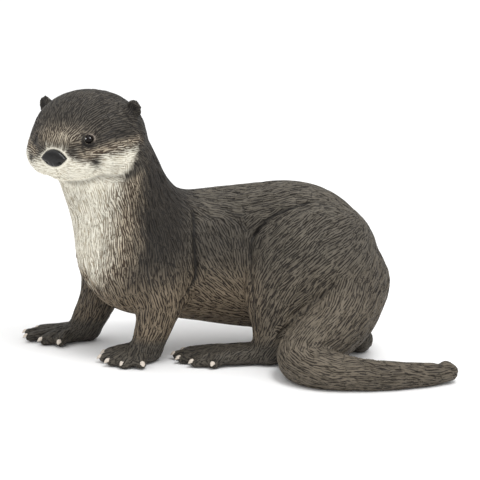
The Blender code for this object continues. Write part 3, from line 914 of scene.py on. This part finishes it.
    def spot(self, middle, reach):
        """A soft patch on the head round a point in the head's directions, 0 to 1."""
        return near_point(self.q, vec(*middle), 1, 1/vec(*reach))*self.is_head

    def marks(self):
        """Masks from 0 to 1 of cream, tan and grime in the furrows, with painted shade turning the cheeks'
        back edges tan.
        """
        body = 1 - self.is_head
        whiskers = feature_lines(self.q, WHISKER_PAD, 2.6)*self.is_head
        cheek = smoothstep(9, 13, self.side)*smoothstep(-33, -30, self.q[:, 0])*self.is_head
        brow = 0.50*self.spot((-5, -2.5, 8.6), (8, 14, 4.0))
        brow += 0.45*self.spot((-4.5, 6.5, 7.8), (6, 8.0, 3.2))
        brow *= 1 - 0.35*smoothstep(0.3, -1.0, self.strand)
        # tan includes the painted shade at the cheeks' back edges
        tan = np.max([brow, 0.8*bell(self.face_edge - 1.8, 2.3)*cheek, self.under_bib*body,
                      0.6*self.cheek_rim_shade*self.cream], axis=0)
        rim = bell(self.nose - 0.55, 0.35)*self.is_head*self.by_nose()
        dashes = whiskers*(0.45 + 0.5*smoothstep(0.5, -0.7, self.strand))
        bib_edge = self.bib_edge*body
        # the cream is dulled there by the same painted shade
        pale = self.cream*(1 - dashes)*(1 - 0.35*bib_edge)*(1 - 0.45*self.cheek_rim_shade)
        cream = np.max([pale, rim, 0.15*self.spot((-4.5, 4.5, 8.2), (6, 5.5, 2.2))], axis=0)
        grime = np.max([whiskers, bell(self.face_edge - 1, 3.0)*cheek, bib_edge,
                        (0.1 + 0.8*self.bib_grime)*body*self.cream,
                        smoothstep(2, 8, self.face_edge)*self.is_head], axis=0)
        return np.column_stack([cream, tan, grime*(1 - rim)])

    def shades(self):
        """Masks from 0 to 1 of the brown wash; the darker paint, with painted shade on the far foreleg and
        in the ears' hollows; and the carved furrows.
        """
        x, y, z = self.p.T
        warm = smoothstep(58, 30, z)*(1 - 0.7*smoothstep(0, 14, x))*(1 - self.feet)
        nape = smoothstep(-14, -30, x)*smoothstep(28, 62, z)*(1 - self.is_head)
        crown = (0.52 + 0.43*smoothstep(-24, -42, self.q[:, 0]))*self.is_head
        temple = self.spot((-17, 24, 7), (11, 9, 5)) + self.spot((-17, -24, 7), (11, 9, 5))
        flank = 0.45*smoothstep(18, 0, x)*smoothstep(72, 64, z)*smoothstep(38, 50, z)
        rump = 0.2*smoothstep(35, 65, x)
        # painted shade on the far foreleg
        far_leg_shade = 0.5*smoothstep(12, 20, y)*smoothstep(46, 36, z)*smoothstep(-30, -40, x)
        # the ears' hollows are darkened here as painted shade
        dark = np.max([0.25*self.feet, self.hollow, nape + crown, flank, temple, far_leg_shade, rump], axis=0)
        carved = smoothstep(0.2, -1.5, self.strand)*smoothstep(0.2, 1.2, self.nose)*(1 - 0.5*self.face)
        return np.column_stack([warm, dark, carved])

    def lid_highlights(self):
        """A painted highlight on the lid rim behind each eye, in the first of three columns."""
        behind = smoothstep(0.2, -1.2, self.q[:, 0] - EYE_FRONT)
        return np.outer(0.85*bell(self.lids - 2.45, 0.32)*behind, (1, 0, 0))


# ---- paint


def srgb(*values):
    """A colour named in everyday 0-255 numbers, as the shader's linear ones."""
    c = np.array(values)/255
    return (*np.where(c <= 0.04045, c/12.92, ((c + 0.055)/1.055)**2.4), 1.0)


# the 'dark' colours are the darker paint, and also the painted shade on the far foreleg and in the ears'
# hollows
RIDGE = {'coat': srgb(91, 85, 75), 'warm': srgb(126, 112, 93), 'dark': srgb(49, 44, 38),
         'tan': srgb(174, 160, 138), 'cream': srgb(233, 229, 214)}
FURROW = {'coat': srgb(34, 29, 23), 'warm': srgb(42, 32, 22), 'dark': srgb(22, 18, 14),
          'tan': srgb(66, 52, 39), 'cream': srgb(186, 175, 153)}
# pale paint for the highlight on the lid rim behind each eye
LID_HIGHLIGHT = srgb(150, 138, 128)
# near black, for the painted shadow in the deep lines and the ears' hollows
CREASE_SHADOW = srgb(20, 17, 14)
GROOVE_TURNS = 3.3        # of the grooves' wave, in radians for each hair's breadth


class Nodes:
    """Short ways to add the few kinds of node that the paints use."""

    def __init__(self, material):
        material.use_nodes = True
        self.tree = material.node_tree
        self.shader = self.tree.nodes.get('Principled BSDF')

    def link(self, source, target):
        self.tree.links.new(source, target)

    def put(self, socket, value):
        """Link a node's output to a socket, or set the socket to a constant."""
        if isinstance(value, bpy.types.NodeSocket):
            self.link(value, socket)
        else:
            socket.default_value = value

    def attribute(self, name):
        node = self.tree.nodes.new('ShaderNodeAttribute')
        node.attribute_name = name
        return node.outputs['Vector']

    def split(self, vector):
        """The three numbers of a vector."""
        parts = self.tree.nodes.new('ShaderNodeSeparateXYZ')
        self.link(vector, parts.inputs[0])
        return parts.outputs

    def masks(self, name):
        """The three numbers of an attribute."""
        return self.split(self.attribute(name))

    def math(self, operation, *values):
        node = self.tree.nodes.new('ShaderNodeMath')
        node.operation = operation
        for socket, value in zip(node.inputs, values):
            self.put(socket, value)
        return node.outputs[0]

    def mix(self, factor, a, b, blend='MIX'):
        """Colour a where the factor is 0 and b where it is 1."""
        node = self.tree.nodes.new('ShaderNodeMix')
        node.data_type, node.blend_type = 'RGBA', blend
        for name, value in (('Factor_Float', factor), ('A_Color', a), ('B_Color', b)):
            self.put(next(s for s in node.inputs if s.identifier == name), value)
        return next(s for s in node.outputs if s.identifier == 'Result_Color')

    def noise(self, scale, detail=2.0, where=None):
        node = self.tree.nodes.new('ShaderNodeTexNoise')
        node.inputs['Scale'].default_value = scale
        node.inputs['Detail'].default_value = detail
        if where is None:
            where = self.tree.nodes.new('ShaderNodeTexCoord').outputs['Object']
        self.link(where, node.inputs['Vector'])
        return node.outputs['Fac']

    def combed(self, name):
        """Even grooves along the hair of one set of patches, wandering and broken like real ones; mean 0."""
        where = self.attribute(name)
        broken = self.math('MULTIPLY', self.math('SUBTRACT', self.noise(1.0, 1.5, where), 0.5), 0.8)
        wander = self.math('MULTIPLY', self.noise(0.4, 0.0, where), 7.0)
        across = self.math('MULTIPLY', self.masks(name)[0], GROOVE_TURNS)
        groove = self.math('SINE', self.math('ADD', across, wander))
        return self.math('ADD', broken, self.math('MULTIPLY', groove, 0.12))

    def ramp(self, factor, low, high, start=0.3, stop=0.7, smooth=False):
        """Spread a value between two levels."""
        node = self.tree.nodes.new('ShaderNodeMapRange')
        node.interpolation_type = 'SMOOTHSTEP' if smooth else 'LINEAR'
        self.link(factor, node.inputs['Value'])
        node.inputs['From Min'].default_value, node.inputs['From Max'].default_value = start, stop
        node.inputs['To Min'].default_value, node.inputs['To Max'].default_value = low, high
        return node.outputs['Result']

    def bump(self, height, strength, distance):
        node = self.tree.nodes.new('ShaderNodeBump')
        node.inputs['Strength'].default_value = strength
        node.inputs['Distance'].default_value = distance
        self.link(height, node.inputs['Height'])
        self.link(node.outputs['Normal'], self.shader.inputs['Normal'])


def coat_paint():
    """Washed and dry-brushed acrylic over matt vinyl, with painted shadow in the folds, painted shade in the
    ears' hollows, at the cheeks' back edges and on the far foreleg, and a painted highlight on each lid rim.
    """
    made = bpy.data.materials.new('painted_fur')
    n = Nodes(made)
    cream, tan, grime = n.masks('marks')
    # dark: the darker paint, with painted shade on the far foreleg and in the ears' hollows
    warm, dark, carved = n.masks('shades')
    # lid: the painted highlight on the lid rim behind each eye
    lid, _, _ = n.masks('lids')
    # the third is painted shadow in the deep lines and painted shade in the ears' hollows
    share_a, share_b, crease = n.masks('hair_mix')
    hair = n.math('ADD', n.math('MULTIPLY', n.combed('hair_a'), share_a),
                 n.math('MULTIPLY', n.combed('hair_b'), share_b))
    hair = n.math('SUBTRACT', hair, n.math('MULTIPLY', grime, 0.04))
    fine = n.ramp(hair, 1, 0, -0.08, 0.02, smooth=True)
    furrow = n.math('MAXIMUM', n.math('MULTIPLY', carved, 0.2), fine)

    def layered(colours, cream_colour):
        colour = n.mix(warm, colours['coat'], colours['warm'])
        colour = n.mix(dark, colour, colours['dark'])
        colour = n.mix(tan, colour, colours['tan'])
        return n.mix(cream, colour, cream_colour)

    grimy_cream = n.mix(grime, FURROW['cream'], FURROW['tan'])
    colour = n.mix(furrow, layered(RIDGE, RIDGE['cream']), layered(FURROW, grimy_cream))
    # painted highlight on the lid rims
    colour = n.mix(lid, colour, LID_HIGHLIGHT)
    # painted shadow in the deep lines, near black
    colour = n.mix(n.math('MULTIPLY', crease, 0.92), colour, CREASE_SHADOW)
    mottle = n.ramp(n.noise(70), 0.86, 1.10)
    speckle = n.ramp(n.noise(1600, 3), 0.88, 1.10)
    for variation in (mottle, speckle):
        colour = n.mix(1.0, colour, variation, 'MULTIPLY')
    n.link(colour, n.shader.inputs['Base Color'])
    n.link(n.ramp(n.noise(400), 0.58, 0.74), n.shader.inputs['Roughness'])
    n.shader.inputs['Specular IOR Level'].default_value = 0.35
    grain = n.math('MULTIPLY', n.noise(2600, 3), 0.25)
    n.bump(n.math('SUBTRACT', grain, fine), 0.9, 0.00035)
    return made


def plain_paint(name, colour, roughness, grain=0.1, shine=0.5, variation=0.15):
    """One colour with a little wear and grain in it."""
    made = bpy.data.materials.new(name)
    n = Nodes(made)
    shade = n.ramp(n.noise(900, 3), 0, variation)
    n.link(n.mix(shade, colour, srgb(128, 120, 112)), n.shader.inputs['Base Color'])
    n.link(n.ramp(n.noise(500), roughness*0.9, roughness*1.1), n.shader.inputs['Roughness'])
    n.shader.inputs['Specular IOR Level'].default_value = shine
    n.bump(n.noise(2200, 2), grain, 0.0002)
    return made


# ---- the coat's pieces


def store(mesh, name, values):
    layer = mesh.attributes.new(name, 'FLOAT_VECTOR', 'POINT')
    layer.data.foreach_set('vector', values.astype(np.float32).ravel())


def part(mesh, chosen, normals):
    """A copy of the mesh with only the chosen faces, still shaded as part of the whole."""
    copy = mesh.copy()
    bm = bmesh.new()
    bm.from_mesh(copy)
    was = bm.verts.layers.int.new('was')
    for vertex in bm.verts:
        vertex[was] = vertex.index
    faces = list(bm.faces)
    bmesh.ops.delete(bm, geom=[f for f, keep in zip(faces, chosen) if not keep], context='FACES')
    kept = [v[was] for v in bm.verts]
    bm.to_mesh(copy)
    bm.free()
    copy.normals_split_custom_set_from_vertices(normals[kept])
    return copy


def make_coat():
    mesh = smooth_skin()
    quads = np.empty(4*len(mesh.polygons), int)
    mesh.polygons.foreach_get('vertices', quads)
    middles = points_of(mesh)[quads.reshape(-1, 4)].mean(1)
    regions = skin_regions(middles)
    unwrap(mesh, regions)
    mesh = with_modifier(mesh, 'SUBSURF', levels=SUBDIVISIONS, render_levels=SUBDIVISIONS)
    regions = np.repeat(regions, 4**SUBDIVISIONS)
    skin = Skin(points_of(mesh), normals_of(mesh))
    points = skin.p + skin.normal*skin.relief()[:, None]
    points[:, 2] = np.maximum(points[:, 2], 0)
    # 'lids' holds the painted highlight on the lid rims
    names = ('marks', 'shades', 'lids', 'hair_a', 'hair_b', 'hair_mix')
    for name, values in zip(names, (skin.marks(), skin.shades(), skin.lid_highlights(), *skin.hair())):
        store(mesh, name, values)
    move_points(mesh, placed(points))
    mesh.polygons.foreach_set('use_smooth', np.ones(len(mesh.polygons), bool))
    normals = normals_of(mesh)
    paint = coat_paint()
    for name, nodes in STANDS_FOR.items():
        piece(name, part(mesh, regions == name, normals), paint, nodes)


# ---- eyes, nose and claws


def shaped_ball(around, up, shape):
    """A closed ball whose points a function moves from the unit sphere."""
    mesh = ball((0, 0, 0), np.eye(3), (1, 1, 1), around, up)
    move_points(mesh, shape(points_of(mesh)))
    mesh.polygons.foreach_set('use_smooth', np.ones(len(mesh.polygons), bool))
    return mesh


def eye_mesh(side):
    """A glossy eye with a slightly raised cornea."""
    looks = unit((EYE_FACES*vec(1, HANDS[side], 1)) @ HEAD)

    def shape(s):
        raised = 1 + 0.05*smoothstep(0.75, 1.0, s @ looks)
        return placed(EYES[side] + s*EYE_SIZE*raised[:, None] - looks*EYE_SUNK[side])
    return shaped_ball(48, 32, shape)


NOSTRIL = vec(0.8, 0.50, -0.42)


def nose_mesh():
    """A broad pad, wide at its middle and narrow above and below, with two nostrils."""
    def shape(s):
        forward, left, up = s[:, 0], s[:, 1], s[:, 2]
        outward = np.maximum(np.hypot(left, up), 1e-6)
        pull = outward/np.maximum(six_sided(left, up), 1e-6)
        q = np.column_stack([forward, left*pull, up*pull])
        q[:, 0] = np.sign(forward)*np.abs(forward)**0.75
        for hand in (1, -1):
            off = q - NOSTRIL*vec(1, hand, 1)
            off[:, 0] *= 0.3
            dent = np.exp(-((off/vec(1, 0.17, 0.13))**2).sum(1))
            q -= dent[:, None]*vec(0.4, 0, 0)
        crease = np.exp(-(left/0.06)**2)*smoothstep(-0.2, -0.7, up)*(forward > 0)
        q[:, 0] -= 0.12*crease
        return placed(from_head(NOSE_CENTRE + NOSE_PROUD + q*NOSE_SIZE))
    return shaped_ball(96, 64, shape)


def claw_mesh(at, ahead):
    """A pale oval nail, flat beneath, broad at its root and curved down to a blunt tip."""
    lean = unit(ahead - vec(0, 0, CLAW_DIP))
    side = unit(np.cross(vec(0, 0, 1), lean))
    top = np.cross(lean, side)

    def shape(s):
        t = s[:, 0]
        width = 1.2*np.sqrt(np.clip(1 - 0.45*smoothstep(-0.2, 1, t), 0, 1))
        height = np.where(s[:, 2] > 0, 1.15, 0.6)*(1 - 0.4*smoothstep(-0.2, 1, t))
        drop = -0.35*smoothstep(0, 1, t)**2
        local = np.column_stack([t*CLAW_LENGTH/2, s[:, 1]*width, s[:, 2]*height + drop])
        q = at + lean*0.3 + top*0.5 + local @ np.array([lean, side, top])
        q[:, 2] = np.maximum(q[:, 2], 0.02)
        return placed(q)
    return shaped_ball(24, 16, shape)


def make_features():
    eye = plain_paint('eye_gloss', srgb(4, 3, 3), 0.04, grain=0.0, shine=0.08, variation=0.01)
    for side in EYES:
        piece(f'eye_{side}_gloss', eye_mesh(side), eye, [f'eye_{side}'])
    nose = plain_paint('nose_satin', srgb(20, 20, 21), 0.30, grain=0.35, shine=0.3, variation=0.03)
    piece('nose_pad', nose_mesh(), nose, ['nose'])
    nail = plain_paint('nail_pale', srgb(214, 203, 190), 0.42, variation=0.2)
    for name, paw in PAWS.items():
        for number, (at, ahead) in enumerate(paw.claws, 1):
            node = f'{name}_claw_{number}'
            piece(f'{node}_nail', claw_mesh(at, ahead), nail, [node])


# ---- floor, light and camera

FLOOR_SIZE = 60
DOME_LIGHT = (0.42, 1.45)                 # at the horizon and overhead
SKYLINE_HEIGHT, SKYLINE_LIGHT = 0.15, 0.6
OVERHEAD_AT, OVERHEAD_SIZE, OVERHEAD_POWER = (0.2, -0.3, 0.8), 0.25, 3
GLINT_WAYS = unit(vec(-0.79, -0.48, 0.38)), unit(vec(0.73, -0.17, 0.65))
GLINT_DISTANCE, GLINT_SIZE, GLINT_POWER = 0.8, 0.4, 44
CAMERA_AT, CAMERA_LOOKS_AT = vec(0, -597.61, 194.97), vec(0, 0, 57)
LENS, SENSOR_WIDTH = 100, 36


def make_floor():
    bpy.ops.mesh.primitive_plane_add(size=FLOOR_SIZE, location=(0, 0, 0))
    floor = bpy.context.object
    floor.name = 'floor'
    made = bpy.data.materials.new('pale_floor')
    n = Nodes(made)
    n.link(n.mix(n.ramp(n.noise(3), 0, 1), srgb(246, 246, 246), srgb(250, 250, 250)),
           n.shader.inputs['Base Color'])
    n.shader.inputs['Roughness'].default_value = 0.9
    floor.data.materials.append(made)


def point_at(obj, at, aim):
    """Put a lamp or camera in its place and turn it to what it looks at."""
    obj.location = at
    obj.rotation_euler = (Vector(aim) - Vector(at)).to_track_quat('-Z', 'Y').to_euler()


def area_light(name, at, size, power, aim=(0, 0, 0.05)):
    """A square softbox."""
    light = bpy.data.lights.new(name, 'AREA')
    light.shape, light.size, light.energy = 'SQUARE', size, power
    obj = add(name, light)
    point_at(obj, at, aim)
    return obj


def eye_lamps():
    """Small softboxes that only the eyes mirror, as the glints that bring them to life."""
    eyes = bpy.data.collections.new('eyes')
    for side in EYES:
        eyes.objects.link(bpy.data.objects[f'eye_{side}_gloss'])
    aim = placed(EYES['left'])
    for number, way in enumerate(GLINT_WAYS):
        lamp = area_light(f'glint_{number}', aim + way*GLINT_DISTANCE, GLINT_SIZE, GLINT_POWER, aim)
        lamp.light_linking.receiver_collection = eyes


def sky_light(world):
    """A white studio dome, brightest overhead like a wide softbox, and bright where it meets the floor."""
    n = Nodes(world)
    up = n.split(n.tree.nodes.new('ShaderNodeTexCoord').outputs['Generated'])[2]
    dome = n.ramp(up, *DOME_LIGHT, 0, 1, smooth=True)
    skyline = n.ramp(up, SKYLINE_LIGHT, 0, 0, SKYLINE_HEIGHT)
    background = n.tree.nodes['Background']
    background.inputs['Color'].default_value = (1, 1, 1, 1)
    n.link(n.math('ADD', dome, skyline), background.inputs['Strength'])


def make_light_and_camera():
    """The studio, seen with a long lens from the otter's left."""
    world = bpy.data.worlds.new('studio')
    sky_light(world)
    bpy.context.scene.world = world
    bpy.context.scene.view_settings.view_transform = 'Standard'
    area_light('overhead', OVERHEAD_AT, OVERHEAD_SIZE, OVERHEAD_POWER)
    camera = add('camera', bpy.data.cameras.new('camera'))
    camera.data.lens, camera.data.sensor_width = LENS, SENSOR_WIDTH
    camera.data.clip_start = 0.01
    point_at(camera, placed(CAMERA_AT), placed(CAMERA_LOOKS_AT))
    bpy.context.scene.camera = camera


make_floor()
make_light_and_camera()
make_features()
eye_lamps()
make_coat()
